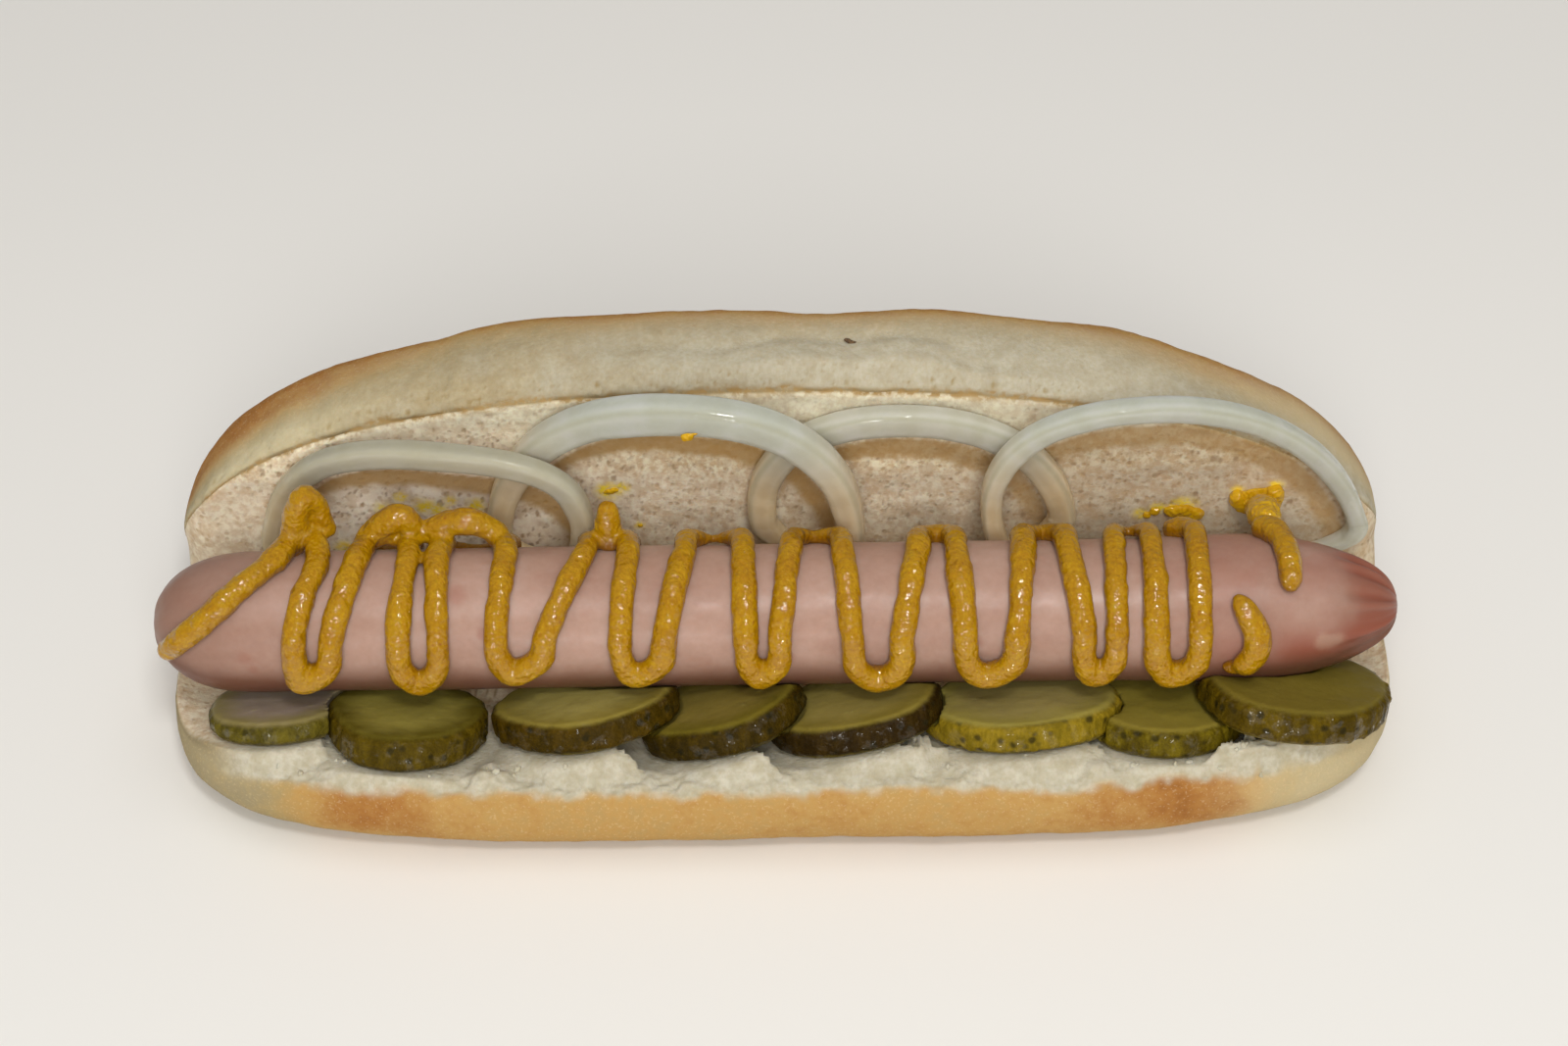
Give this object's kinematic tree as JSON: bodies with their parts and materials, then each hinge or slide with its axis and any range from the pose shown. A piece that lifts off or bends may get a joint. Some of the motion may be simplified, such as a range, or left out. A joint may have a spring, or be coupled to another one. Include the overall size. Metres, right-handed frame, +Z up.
{
  "type": "hot dog",
  "caption": "Opened side-cut bun with a sausage on pickle slices, onion rings against the upper half and a zigzag of mustard.",
  "frame": {"origin": "middle of the underside of the whole, on the surface that the bun lies on", "axes": "+X along the sausage, -Y towards the open front of the bun, +Z up"},
  "size_m": [0.1994, 0.0723, 0.0652],
  "materials": {
    "bread": "soft wheat bread, matte, browned crust and porous pale crumb",
    "sausage_skin": "moist smooth sausage skin, semi-gloss",
    "mustard": "thick yellow mustard, wet and grainy",
    "pickle": "wet brined cucumber, dark warty rind and paler cut faces",
    "onion": "translucent raw white onion, moist"
  },
  "bodies": {
    "root": {"bun": "bread", "sausage": "sausage_skin", "pickle_slice_1": "pickle", "pickle_slice_2": "pickle", "pickle_slice_3": "pickle", "pickle_slice_4": "pickle", "pickle_slice_5": "pickle", "pickle_slice_6": "pickle", "pickle_slice_7": "pickle", "pickle_slice_8": "pickle", "onion_ring_1": "onion", "onion_ring_2": "onion", "onion_ring_3": "onion", "onion_ring_4": "onion"}
  },
  "joints": []
}
